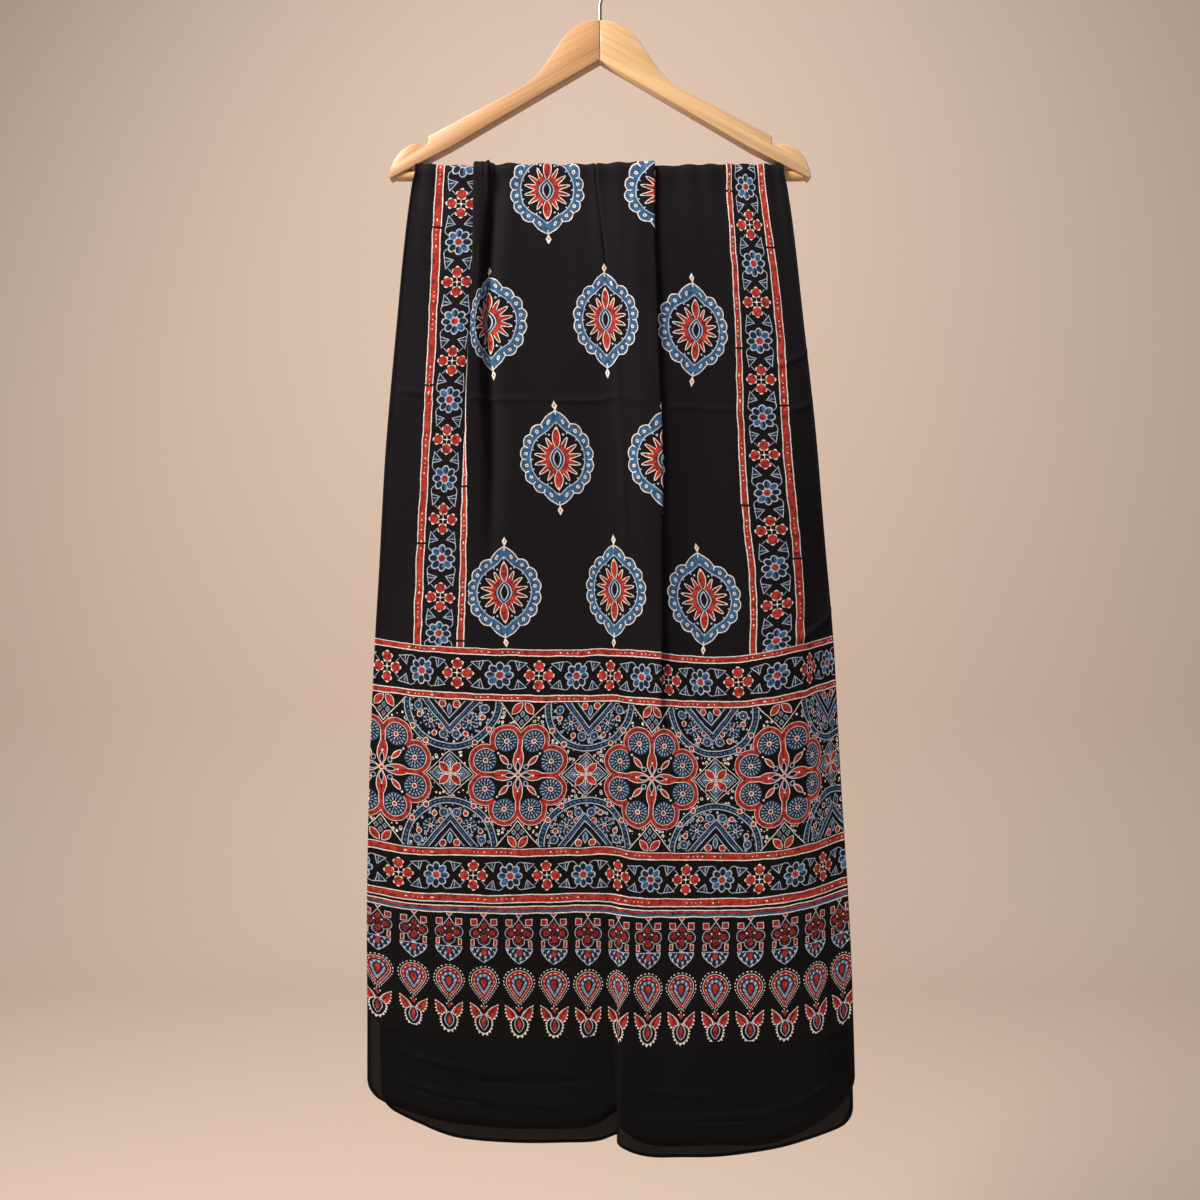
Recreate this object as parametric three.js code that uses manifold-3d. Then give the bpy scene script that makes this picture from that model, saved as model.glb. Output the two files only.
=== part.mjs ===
// A block-printed cloth hung double over the bar of a wooden clothes hanger with a wire hook.
// Millimetres, +Z up, +X to the viewer's right, the cloth's front faces -Y.
// The origin is the inside top of the hook, where a rail carries the hanger.
import * as THREE from 'three';
import { mergeVertices } from 'three/addons/utils/BufferGeometryUtils.js';
import Module from 'manifold-3d';

// Hanger
const GAP = 0.3;
const WOOD_TOP = -75;
const ARM_THICKNESS = 15;
const ARM_EDGE_ROUND = 1.2;
const ARM_REACH = 220;
const TIP_DROP = 165;
const INNER_APEX_DROP = 41.5;
const BAR_RADIUS = 5.5;
const BAR_DROP = 160;
const BAR_HALF_LENGTH = 212;
const STRAP_NOTCH_X = 184;
const STRAP_NOTCH_DROP = 125.5;
const STRAP_NOTCH_RADIUS = 5;

// Hook
const WIRE_RADIUS = 2;
const WIRE_HALF_SIDES = 5;
const WIRE_STEPS = 44;
const HOOK_RADIUS = 21;
const HOOK_START = -50;
const HOOK_END = 208;
const HOOK_POINT_STEP = 21.5;
const STEM_TOP = -56;
const STEM_IN_WOOD = 24;

// Cloth: cut size, thickness and how it lies over the bar
const CLOTH_WIDTH = 520;
const CLOTH_THICKNESS = 1.2;
const MARGIN = 44;
const BAR_CLEARANCE = 0.8;
const WRAP_RADIUS = BAR_RADIUS + BAR_CLEARANCE + CLOTH_THICKNESS / 2;
const HANGING_GAP = 3;
const CLOSING_DROP = 160;

// The two hanging layers: which way each faces, its length from the bar's middle to its hem, the
// radius of its lower corners, how far its right edge rides up and how far its left foot is set in.
const LAYERS = {
  front: { side: -1, length: 994, rows: 20, corner: 15, rightRise: 48, inset: 0 },
  back: { side: 1, length: 1009, rows: 16, corner: 14, rightRise: 34, inset: 12 },
};

// Outline, a row for each height below the bar: the sheet's two edges and the two printed
// border lines that stand MARGIN inside them when the cloth lies flat.
const OUTLINE = [
  { drop: 0, left: -188, leftLine: -172, rightLine: 170, right: 186 },
  { drop: 29, left: -195, leftLine: -174, rightLine: 173, right: 194 },
  { drop: 159, left: -209, leftLine: -179, rightLine: 184, right: 209 },
  { drop: 300, left: -221, leftLine: -183, rightLine: 195, right: 223 },
  { drop: 442, left: -230, leftLine: -188, rightLine: 208, right: 237 },
  { drop: 627, left: -238, leftLine: -194, rightLine: 223, right: 249 },
  { drop: 861, left: -243, leftLine: -199, rightLine: 221, right: 260 },
  { drop: 1010, left: -241, leftLine: -197, rightLine: 224, right: 264 },
];

// Folds, a row for each: the flat place of its middle at its two heights, the cloth it takes up,
// the length of each bend, which panel stands in front, and how far the cloth turns at its heights.
const FOLDS = [
  { layer: 'front', at: [-150, -176], tuck: 18.5, bend: 5, front: 'right', drop: [0, 560], turn: [180, 0] },
  { layer: 'front', at: [69, 72], tuck: 16, bend: 5, front: 'left', drop: [430, 730], turn: [180, 0] },
  { layer: 'back', at: [-150, -140], tuck: 18.5, bend: 5, front: 'right', drop: [0, 720], turn: [180, 0] },
  { layer: 'back', at: [69, 90], tuck: 16, bend: 5, front: 'left', drop: [120, 640], turn: [180, 0] },
  { layer: 'both', at: [2, 2], tuck: 13, bend: 8, front: 'right', drop: [680, 880], turn: [0, 112] },
];

// Soft troughs beside the folds, a row for each: flat place, half width and depth at two heights.
const TROUGHS = [
  { layer: 'front', at: [-122, -138], halfWidth: 9, drop: [0, 430], depth: [5, 0] },
  { layer: 'back', at: [30, 0], halfWidth: 22, drop: [0, 640], depth: [0, 3] },
];

// Sag of the printed rows at the hem: the side edges ride up, the right panel hangs lower.
const LEFT_RISE = 22;
const LEFT_RISE_FROM = -70;
const RIGHT_RISE_FROM = 150;
const RIGHT_SAG = 18;
const SAG_FROM = -30;
const SAG_WIDTH = 90;

// Backward curl of the side edges, a row for each height, and the width that curls.
const CURL_WIDTH = 95;
const CURL = [
  { drop: 0, left: 0, right: 0 },
  { drop: 120, left: 1, right: 2 },
  { drop: 440, left: 5, right: 20 },
  { drop: 640, left: 6, right: 24 },
  { drop: 861, left: 9, right: 14 },
  { drop: 1010, left: 13, right: 17 },
];

// Mesh density
const BEND_STEPS = 3;
const HOLD_STEPS = 1;
const PANEL_STEPS = [3, 7, 3, 7];
const EDGE_PLACES = [4, 9, 16];
const WRAP_ROWS = 6;
const ROW_CROWDING = 1.25;
const SECTION_STEP = 0.5;

const BAR_Z = WOOD_TOP - BAR_DROP;
const clamp = (value, low, high) => Math.min(high, Math.max(low, value));
const radians = THREE.MathUtils.degToRad;

function ease(value) {
  const t = clamp(value, 0, 1);
  return t * t * (3 - 2 * t);
}

// One column of a table at a height, on a smooth curve through its rows.
function columnAt(table, column, drop) {
  const last = table.length - 1;
  const at = clamp(drop, table[0].drop, table[last].drop);
  const next = clamp(table.findIndex((row) => row.drop >= at), 1, last);
  const slope = (i) => {
    const a = table[Math.max(i - 1, 0)];
    const b = table[Math.min(i + 1, last)];
    return (b[column] - a[column]) / (b.drop - a.drop);
  };
  const [a, b] = [table[next - 1], table[next]];
  const span = b.drop - a.drop;
  const t = (at - a.drop) / span;
  const s = 1 - t;
  const ends = a[column] * s * s * (1 + 2 * t) + b[column] * t * t * (1 + 2 * s);
  return ends + span * t * s * (slope(next - 1) * s - slope(next) * t);
}

// A fold as it is at a height: where its middle lies in the flat cloth and its turn in radians.
function foldAt(fold, drop) {
  const t = ease((drop - fold.drop[0]) / (fold.drop[1] - fold.drop[0]));
  const turn = radians(fold.turn[0] + (fold.turn[1] - fold.turn[0]) * t);
  return { ...fold, at: fold.at[0] + (fold.at[1] - fold.at[0]) * t, turn };
}

function foldsAt(layer, drop) {
  const own = FOLDS.filter((fold) => fold.layer === layer || fold.layer === 'both');
  return own.map((fold) => foldAt(fold, drop)).sort((a, b) => a.at - b.at);
}

function headingIn(fold, across) {
  const ramp = (middle) => clamp((across - middle) / fold.bend + 0.5, 0, 1);
  const shape = ramp(fold.at - fold.tuck / 2) - ramp(fold.at + fold.tuck / 2);
  return fold.turn * shape * (fold.front === 'right' ? 1 : -1);
}

// Flat places of the mesh's columns: close together in the folds and wide apart between them.
function columnsAt(layer, drop) {
  const places = [0, ...EDGE_PLACES].map((inside) => inside - CLOTH_WIDTH / 2);
  const stepTo = (end, steps) => {
    const start = places[places.length - 1];
    for (let i = 1; i <= steps; i += 1) places.push(start + ((end - start) * i) / steps);
  };
  foldsAt(layer, drop).forEach((fold, i) => {
    const [inner, outer] = [(fold.tuck - fold.bend) / 2, (fold.tuck + fold.bend) / 2];
    stepTo(fold.at - outer, PANEL_STEPS[i]);
    stepTo(fold.at - inner, BEND_STEPS);
    stepTo(fold.at + inner, HOLD_STEPS);
    stepTo(fold.at + outer, BEND_STEPS);
  });
  const rightEdge = [...EDGE_PLACES].reverse().concat(0).map((inside) => CLOTH_WIDTH / 2 - inside);
  stepTo(rightEdge[0], PANEL_STEPS[PANEL_STEPS.length - 1]);
  return [...places, ...rightEdge.slice(1)];
}

// A cross-section of one layer: for each column its X, its stand-off from the layer's own plane
// and its place in the depth that both layers share.
function sectionAt(layer, drop) {
  const folds = foldsAt(layer, drop);
  const count = Math.round(CLOTH_WIDTH / SECTION_STEP);
  const path = [{ x: 0, off: 0, shared: 0 }];
  for (let i = 0; i < count; i += 1) {
    const across = -CLOTH_WIDTH / 2 + (i + 0.5) * SECTION_STEP;
    const [own, common] = [0, 0].map((_, both) => folds
      .filter((fold) => (fold.layer === 'both') === (both === 1))
      .reduce((sum, fold) => sum + headingIn(fold, across), 0));
    const last = path[i];
    path.push({
      x: last.x + Math.cos(own + common) * SECTION_STEP,
      off: last.off + Math.sin(own) * SECTION_STEP,
      shared: last.shared - Math.sin(common) * SECTION_STEP,
    });
  }
  const end = path[count];
  path.forEach((point, i) => {
    point.off -= (end.off * i) / count;
    point.shared -= (end.shared * i) / count;
  });
  path.forEach((point, i) => {
    point.off -= troughAt(layer, i * SECTION_STEP - CLOTH_WIDTH / 2, drop);
  });
  const lowest = Math.min(...path.map((point) => point.off));
  const read = (across, key) => {
    const place = clamp((across + CLOTH_WIDTH / 2) / SECTION_STEP, 0, count);
    const i = Math.min(Math.floor(place), count - 1);
    return path[i][key] + (path[i + 1][key] - path[i][key]) * (place - i);
  };
  const inset = (LAYERS[layer].inset * drop) / LAYERS[layer].length;
  const left = columnAt(OUTLINE, 'left', drop) + inset;
  const leftLine = columnAt(OUTLINE, 'leftLine', drop) + inset;
  const rightLine = columnAt(OUTLINE, 'rightLine', drop);
  const right = columnAt(OUTLINE, 'right', drop);
  const line = CLOTH_WIDTH / 2 - MARGIN;
  const lineStart = read(-line, 'x');
  const stretch = (rightLine - leftLine) / (read(line, 'x') - lineStart);
  const placeX = (across) => {
    if (across < -line) return leftLine + ((left - leftLine) * (-line - across)) / MARGIN;
    if (across > line) return rightLine + ((right - rightLine) * (across - line)) / MARGIN;
    return leftLine + (read(across, 'x') - lineStart) * stretch;
  };
  return columnsAt(layer, drop).map((across) => ({
    across,
    x: placeX(across),
    off: read(across, 'off') - lowest,
    shared: read(across, 'shared') + curlAt(placeX(across), left, right, drop),
  }));
}

function troughAt(layer, across, drop) {
  return TROUGHS.filter((trough) => trough.layer === layer).reduce((sum, trough) => {
    const t = ease((drop - trough.drop[0]) / (trough.drop[1] - trough.drop[0]));
    const place = trough.at[0] + (trough.at[1] - trough.at[0]) * t;
    const depth = trough.depth[0] + (trough.depth[1] - trough.depth[0]) * t;
    return sum + depth * Math.exp(-(((across - place) / trough.halfWidth) ** 2));
  }, 0);
}

function curlAt(x, left, right, drop) {
  const fromLeft = clamp(1 - (x - left) / CURL_WIDTH, 0, 1);
  const fromRight = clamp(1 - (right - x) / CURL_WIDTH, 0, 1);
  return columnAt(CURL, 'left', drop) * fromLeft ** 2 + columnAt(CURL, 'right', drop) * fromRight ** 2;
}

// How far a point of the hem rides above the middle of the left panel.
function riseAt(across, rightRise) {
  const edge = CLOTH_WIDTH / 2;
  const left = Math.max(0, (LEFT_RISE_FROM - across) / (edge + LEFT_RISE_FROM)) ** 2;
  const right = Math.max(0, (across - RIGHT_RISE_FROM) / (edge - RIGHT_RISE_FROM)) ** 2;
  return LEFT_RISE * left + rightRise * right - RIGHT_SAG * ease((across - SAG_FROM) / SAG_WIDTH);
}

// How much the rounded corner takes off the length at a place across the sheet.
function cornerAt(across, radius) {
  const inside = Math.max(0, Math.abs(across) - (CLOTH_WIDTH / 2 - radius));
  return radius - Math.sqrt(radius * radius - inside * inside);
}

// Rows of one hanging layer from the bar down to its hem.
function hangingRows(layer) {
  const { side, length, rows, corner, rightRise } = LAYERS[layer];
  return Array.from({ length: rows + 1 }, (_, i) => {
    const down = (i / rows) ** ROW_CROWDING;
    const gap = HANGING_GAP + (WRAP_RADIUS - HANGING_GAP) * (1 - ease((length * down) / CLOSING_DROP));
    return sectionAt(layer, length * down).map(({ across, x, off, shared }) => {
      const reach = length - cornerAt(across, corner) - riseAt(across, rightRise);
      return new THREE.Vector3(x, side * (gap + off) + shared, BAR_Z - reach * down);
    });
  });
}

// Rows over the top of the bar, between the two hanging layers.
function wrapRows() {
  return Array.from({ length: WRAP_ROWS - 1 }, (_, i) => {
    const angle = Math.PI * ((i + 1) / WRAP_ROWS);
    return sectionAt('front', 0).map(({ x, off }) => {
      const radius = WRAP_RADIUS + off;
      return new THREE.Vector3(x, -radius * Math.cos(angle), BAR_Z + radius * Math.sin(angle));
    });
  });
}

// A closed sheet of even thickness on a grid of its middle points.
function sheetGeometry(grid, thickness) {
  const [rows, columns] = [grid.length, grid[0].length];
  const at = (r, c) => grid[clamp(r, 0, rows - 1)][clamp(c, 0, columns - 1)];
  const positions = [];
  [1, -1].forEach((face) => grid.forEach((row, r) => row.forEach((point, c) => {
    const down = at(r + 1, c).clone().sub(at(r - 1, c));
    const along = at(r, c + 1).clone().sub(at(r, c - 1));
    const normal = down.cross(along).normalize();
    positions.push(...point.clone().addScaledVector(normal, (face * thickness) / 2).toArray());
  })));
  const index = [];
  const vertex = (face, r, c) => face * rows * columns + r * columns + c;
  const quad = (a, b, c, d) => index.push(a, b, c, a, c, d);
  for (let r = 0; r < rows - 1; r += 1) {
    for (let c = 0; c < columns - 1; c += 1) {
      quad(vertex(0, r, c), vertex(0, r + 1, c), vertex(0, r + 1, c + 1), vertex(0, r, c + 1));
      quad(vertex(1, r, c), vertex(1, r, c + 1), vertex(1, r + 1, c + 1), vertex(1, r + 1, c));
    }
  }
  const rim = [];
  for (let c = 0; c < columns - 1; c += 1) rim.push([0, c]);
  for (let r = 0; r < rows - 1; r += 1) rim.push([r, columns - 1]);
  for (let c = columns - 1; c > 0; c -= 1) rim.push([rows - 1, c]);
  for (let r = rows - 1; r > 0; r -= 1) rim.push([r, 0]);
  rim.forEach(([r, c], i) => {
    const [nextR, nextC] = rim[(i + 1) % rim.length];
    quad(vertex(0, r, c), vertex(0, nextR, nextC), vertex(1, nextR, nextC), vertex(1, r, c));
  });
  const geometry = new THREE.BufferGeometry();
  geometry.setAttribute('position', new THREE.Float32BufferAttribute(positions, 3));
  geometry.setIndex(index);
  return geometry;
}

function clothGeometry() {
  const rows = [...hangingRows('front').reverse(), ...wrapRows(), ...hangingRows('back')];
  return sheetGeometry(rows, CLOTH_THICKNESS);
}

// Right-hand arm seen from the front, from the seam at X = 0 to the rounded nose.
function armOutline() {
  const shape = new THREE.Shape();
  const [notchLeft, notchRight] = [STRAP_NOTCH_X - STRAP_NOTCH_RADIUS, STRAP_NOTCH_X + STRAP_NOTCH_RADIUS];
  shape.moveTo(GAP / 2, 0);
  shape.bezierCurveTo(24, 0, 34, -11, 44, -26);
  shape.bezierCurveTo(55, -42, 64, -60, 82, -69.5);
  shape.lineTo(notchLeft, -121);
  shape.lineTo(notchLeft, -STRAP_NOTCH_DROP);
  shape.absarc(STRAP_NOTCH_X, -STRAP_NOTCH_DROP, STRAP_NOTCH_RADIUS, Math.PI, 1.8 * Math.PI, false);
  shape.bezierCurveTo(notchRight + 14, -128, ARM_REACH - 3, -141, ARM_REACH, -TIP_DROP + 2);
  shape.lineTo(ARM_REACH - 2, -TIP_DROP);
  shape.lineTo(157, -133.5);
  shape.lineTo(GAP / 2, -INNER_APEX_DROP);
  return shape;
}

const wasm = await Module();
wasm.setup();

function toSolid(geometry) {
  const bare = geometry.index ? geometry.toNonIndexed() : geometry.clone();
  bare.deleteAttribute('normal');
  bare.deleteAttribute('uv');
  const merged = mergeVertices(bare, 1e-4);
  return new wasm.Manifold(new wasm.Mesh({
    numProp: 3,
    vertProperties: new Float32Array(merged.attributes.position.array),
    triVerts: new Uint32Array(merged.index.array),
  }));
}

function fromSolid(solid) {
  const { vertProperties, triVerts } = solid.getMesh();
  const geometry = new THREE.BufferGeometry();
  geometry.setAttribute('position', new THREE.BufferAttribute(new Float32Array(vertProperties), 3));
  geometry.setIndex(new THREE.BufferAttribute(new Uint32Array(triVerts), 1));
  return geometry;
}

function barGeometry(radius, halfLength) {
  return new THREE.CylinderGeometry(radius, radius, 2 * halfLength, 24)
    .rotateZ(Math.PI / 2)
    .translate(0, 0, BAR_Z);
}

function stemHole() {
  const depth = STEM_IN_WOOD + GAP;
  return new THREE.CylinderGeometry(WIRE_RADIUS + GAP, WIRE_RADIUS + GAP, 2 * depth, 20)
    .rotateX(Math.PI / 2)
    .translate(0, 0, WOOD_TOP);
}

function armGeometry(side) {
  const board = new THREE.ExtrudeGeometry(armOutline(), {
    depth: ARM_THICKNESS - 2 * ARM_EDGE_ROUND,
    curveSegments: 7,
    bevelThickness: ARM_EDGE_ROUND,
    bevelSize: ARM_EDGE_ROUND,
    bevelOffset: -ARM_EDGE_ROUND,
    bevelSegments: 2,
  });
  board.translate(0, 0, ARM_EDGE_ROUND - ARM_THICKNESS / 2).rotateX(Math.PI / 2).translate(0, 0, WOOD_TOP);
  if (side < 0) board.rotateZ(Math.PI);
  const socket = toSolid(barGeometry(BAR_RADIUS + GAP, BAR_HALF_LENGTH + GAP));
  return fromSolid(toSolid(board).subtract(socket).subtract(toSolid(stemHole())));
}

function hookGeometry() {
  const centreZ = WIRE_RADIUS - HOOK_RADIUS;
  const ringPoint = (degrees) => new THREE.Vector3(
    HOOK_RADIUS * Math.cos(radians(degrees)),
    0,
    centreZ + HOOK_RADIUS * Math.sin(radians(degrees)),
  );
  const points = [WOOD_TOP - STEM_IN_WOOD, WOOD_TOP - 8, WOOD_TOP + 8, STEM_TOP]
    .map((z) => new THREE.Vector3(0, 0, z));
  points.push(new THREE.Vector3(3.5, 0, STEM_TOP + 11));
  for (let degrees = HOOK_START; degrees <= HOOK_END; degrees += HOOK_POINT_STEP) {
    points.push(ringPoint(degrees));
  }
  const section = new THREE.Shape().absarc(0, 0, WIRE_RADIUS, 0, 2 * Math.PI);
  return new THREE.ExtrudeGeometry(section, {
    steps: WIRE_STEPS,
    curveSegments: WIRE_HALF_SIDES,
    extrudePath: new THREE.CatmullRomCurve3(points, false, 'centripetal'),
  });
}

const cottonBlack = new THREE.MeshStandardMaterial({ color: '#1f1c1f', roughness: 0.85, metalness: 0 });
const warmBeech = new THREE.MeshStandardMaterial({ color: '#c99a6b', roughness: 0.5, metalness: 0 });
const paleBeech = new THREE.MeshStandardMaterial({ color: '#d2ab7c', roughness: 0.5, metalness: 0 });
const platedSteel = new THREE.MeshStandardMaterial({ color: '#9b9a98', roughness: 0.3, metalness: 1 });

const group = new THREE.Group();
function addPart(name, geometry, material) {
  const mesh = new THREE.Mesh(geometry, material);
  mesh.name = name;
  group.add(mesh);
}

addPart('cloth', clothGeometry(), cottonBlack);
addPart('arm_left', armGeometry(-1), warmBeech);
addPart('arm_right', armGeometry(1), paleBeech);
addPart('bar', barGeometry(BAR_RADIUS, BAR_HALF_LENGTH), paleBeech);
addPart('hook', hookGeometry(), platedSteel);

export default group;
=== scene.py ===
import math

import bpy
import numpy as np
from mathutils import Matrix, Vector


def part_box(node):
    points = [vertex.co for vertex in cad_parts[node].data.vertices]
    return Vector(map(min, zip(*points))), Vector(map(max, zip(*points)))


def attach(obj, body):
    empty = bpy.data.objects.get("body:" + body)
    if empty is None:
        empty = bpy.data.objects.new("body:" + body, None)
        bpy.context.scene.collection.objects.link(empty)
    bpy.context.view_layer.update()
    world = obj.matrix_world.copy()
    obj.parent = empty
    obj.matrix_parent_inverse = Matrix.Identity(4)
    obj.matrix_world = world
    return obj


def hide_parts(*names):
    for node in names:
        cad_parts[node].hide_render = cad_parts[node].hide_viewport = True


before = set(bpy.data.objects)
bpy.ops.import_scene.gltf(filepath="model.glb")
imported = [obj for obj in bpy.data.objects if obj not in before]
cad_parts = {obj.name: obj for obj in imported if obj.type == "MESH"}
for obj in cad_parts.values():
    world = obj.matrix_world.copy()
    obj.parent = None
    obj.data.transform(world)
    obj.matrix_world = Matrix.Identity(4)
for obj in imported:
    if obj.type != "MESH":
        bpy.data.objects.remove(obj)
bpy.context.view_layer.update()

MM = 0.001

# Hanger, from the frame, in millimetres
bar_low, bar_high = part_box("bar")
BAR_Z = (bar_low[2] + bar_high[2]) / 2 / MM
BAR_RADIUS = (bar_high[2] - bar_low[2]) / 2 / MM
ARM_SLOPE = math.radians(29)

# Cloth: cut size, thickness, rolled hem, how far in from its edge it is sheer, the length of its plain
# end, and how it lies over the bar
CLOTH_WIDTH = 520
HALF_WIDTH = CLOTH_WIDTH / 2
CLOTH_THICKNESS = 0.5
HEM_THICKNESS = 1.4
HEM_WIDTH = 3
SHEER_TO = 32
PLAIN_END = 88
BAR_CLEARANCE = 2.6
WRAP_RADIUS = BAR_RADIUS + BAR_CLEARANCE
HANGING_GAP = 3
CLOSING_DROP = 160

# The two hanging layers:
# side, length: which way it faces, and how far it hangs from the bar's middle to its hem
# rows, fine: its rows of faces, and the heights between which more rows follow its level creases
# corner: the radius of its lower corners
# left_rise, right_rise, right_from: how far its side edges ride up, and where the right rise starts
# sag: how much lower its left and right panels hang
# notch, inset: how far the low fold draws up the hem, and how far its left foot is set in
LAYERS = {
    "front": dict(side=-1, length=994, rows=104, fine=[(188, 204), (226, 252), (470, 484), (926, 974)],
                  corner=15, left_rise=34, right_rise=48, right_from=150, sag=(4.5, 18), notch=24, inset=0),
    "back": dict(side=1, length=1018, rows=78, fine=[],
                 corner=14, left_rise=38, right_rise=28, right_from=90, sag=(0, 10), notch=14, inset=12),
}
FRONT_LENGTH = LAYERS["front"]["length"]
CLOTH_LENGTH = FRONT_LENGTH + math.pi * WRAP_RADIUS + LAYERS["back"]["length"]

# Where lines along the flat cloth hang: the flat place of each line, then rows of a height below the bar
# and the X of each line there
LINES = (-260, -217, -173, -123, -84, -48, -9, 30, 105, 153, 208, 260)
OUTLINE = [
    (0, -192, -170, -126, -112, -73, -37, 2, 49, 79, 132, 171, 191),
    (19, -196, -172, -127, -112, -73, -37, 2, 49, 79, 132, 173, 195),
    (155, -210, -178, -135, -116, -74.5, -28, 6, 40, 100, 140, 191.5, 211),
    (299, -223, -186, -146, -101, -62.5, -25.5, 11, 48, 87, 145, 202.5, 228),
    (438, -232, -194, -151, -100, -60.5, -14.5, 15, 48.5, 109, 157, 217, 242),
    (522, -237, -196, -155, -97.5, -56.5, -20, 14, 47, 106, 156, 215, 249),
    (621, -241, -198, -154, -104, -66.5, -30.5, 8, 45, 115, 163, 218, 254),
    (793, -245, -199, -154, -104, -64.5, -28.5, 8.5, 39, 111, 159, 214, 263),
    (1010, -245, -199, -154, -104, -63.5, -28, 9, 39, 111, 159, 214, 270),
]

# Folds: layer, panel that stands in front, length of each bend, the two heights between which the cloth
# turns and its turn there in degrees, and a path of heights, flat places of the middle and cloth taken up
FOLDS = [
    dict(layer="front", front="right", bend=4, drop=(150, 430), turn=(180, 0),
         path=[(0, -155, 16), (75, -159, 11), (155, -165, 5.5), (430, -166, 4.2)]),
    dict(layer="front", front="left", bend=4.6, drop=(440, 600), turn=(180, 0),
         path=[(0, 50, 24), (60, 50, 24), (155, 54, 9), (299, 56, 20), (438, 51, 7), (600, 56, 7)]),
    dict(layer="back", front="right", bend=5, drop=(0, 720), turn=(180, 0),
         path=[(0, -150, 18), (75, -145, 18), (150, -140, 18)]),
    dict(layer="back", front="left", bend=5, drop=(120, 640), turn=(180, 0),
         path=[(0, 60, 16), (75, 69, 16), (150, 78, 16)]),
    dict(layer="both", front="right", bend=8, drop=(690, 1000), turn=(0, 104),
         path=[(0, 6, 12), (1010, 6, 12)]),
]

# Soft swells beside the folds: layer, half width, and a path of heights, flat places and heights outwards
SWELLS = [
    dict(layer="front", half_width=8,
         path=[(0, -120, -2), (60, -123, -9), (150, -128, -11), (300, -134, -7), (430, -138, 0)]),
    dict(layer="front", half_width=36, path=[(0, 58, 0), (120, 58, 7), (430, 58, 8), (640, 62, 0)]),
    dict(layer="back", half_width=22, path=[(0, 30, 0), (320, 15, -1.5), (640, 0, -3)]),
]

# Hem: where its left rise starts, where the left panel's sag passes into the right one's, and its notch
RISE_FROM = -70
SAG_FROM = -30
SAG_WIDTH = 90
NOTCH_AT = 3
NOTCH_WIDTH = 17

# How far the print rides up: rows of a height below the bar and the rise on each of the same lines there
PRINT_RISE = [
    (0, 0, 0, 0, 0, 0, 0, 0, -2, -7, -7, -7, -7),
    (155, 0, 0, 0, 3, 3.5, 4.5, 5, 2, -6, -7.5, -7, -6),
    (299, 3, 2, 1, 0, 0, 0, 0, -1, -6, -6, -4, -2),
    (438, 8, 2.5, 0, 1, 2, 3, 4, 0, -6.5, -5, 2, 8),
    (501, 13, 7.5, 4.5, 2, 1.4, 1.5, 2.2, 0.4, -5.7, -4, 7.5, 15),
    (548, 12.5, 7, 4, 1.4, 0.9, 0.9, 1.4, -1.6, -5, -4.5, 5.2, 15.5),
    (707, 8.5, 1.1, 0, -1, -0.8, -0.2, 1.2, -4.8, -5.2, -5.1, 1.2, 12),
    (756, 8, 1.8, 0.5, -0.5, 0.2, 0.7, 1, -3.4, -3.7, -2.7, 3.6, 14.5),
    (830, 15, 7, 3, 0.4, -1, -2.5, -2.5, -4.5, -3.7, -2.7, 2.3, 15),
    (903, 24, 14, 7.5, 2.4, 1, -0.4, -1, -5, -3.4, -2.3, 1.5, 16),
    (1010, 26, 15, 8, 3, 2, 1, 0, -5, -3.4, -2.3, 1.5, 16),
]

# Print drawn together by the curl of the right edge
DRAWN_FROM = 205
DRAWN_IN = 11

# Backward curl of the side edges: height, left, right
CURL_WIDTH = 95
CURL = [(0, 0, 0), (120, 1, 2), (440, 5, 20), (640, 6, 24), (861, 9, 14), (1010, 13, 17)]

# Creases: layer, start and end as (flat place, height below the bar), half width, height, and
# the length over which each fades out at its ends
CREASE_FADE = 30
CREASES = [
    ("front", (-17, -20), (-6, 112), 1.1, -2.2),
    ("front", (1, 112), (6, 480), 4, 1.6),
    ("front", (198, 0), (203, 48), 2.4, -2.2),
    ("front", (-250, 232), (60, 238), 2.8, 1.7),
    ("front", (60, 238), (250, 246), 2.8, 1.6),
    ("front", (190, 198), (258, 192), 3, 2.2),
    ("front", (195, 480), (258, 474), 3.2, 2.2),
    ("front", (85, 491), (170, 493), 5, -1.2),
    ("front", (-240, 930), (-120, 938), 3.4, 2.4),
    ("front", (-240, 962), (-40, 970), 3.6, 2.4),
    ("front", (-150, 948), (-30, 944), 3.4, -2),
    ("front", (30, 938), (150, 946), 3.4, 2.1),
    ("front", (40, 968), (230, 960), 3.6, 2.3),
]

# Cloth bunched up on the bar beside the left tuck
RUFFLE_AT = -136
RUFFLE_WIDTH = 14
RUFFLE_HEIGHT = 3.2
RUFFLE_DROP = 14

# Fine gathers that die out below the bar
GATHER_HEIGHT = 0.7
GATHER_DROP = 70

# Shallow waves of the hanging cloth, full below a height: their height, the lengths of two crossing waves,
# each across and along, and where the second starts
WAVES_FROM = 120
WAVES = [(0.9, (31, 140), (120, 90), 1), (0.5, (13, -75), (60, 47), 0)]

# Mesh density
RUFFLE_STEPS = 14
CREASE_STEPS = 20
CREASE_STRETCH = 20
BEND_STEPS = 6
HOLD_STEPS = 3
PANEL_STEPS = (20, 22, 14, 38)
EDGE_PLACES = (1.2, 2.9, 3.6, 6, 10, 15)
WRAP_ROWS = 14
ROW_CROWDING = 1.25
FINE_ROW = 2.6
SECTION_STEP = 0.5

# How far beside a fold its two panels lie level again
LEVELLED = 70


# Small helpers


def linear(hex_colour):
    """An sRGB hex colour as the linear RGBA that shaders use."""
    channels = [int(hex_colour[i:i + 2], 16) / 255 for i in (1, 3, 5)]
    return [c / 12.92 if c <= 0.04045 else ((c + 0.055) / 1.055) ** 2.4 for c in channels] + [1]


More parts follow.
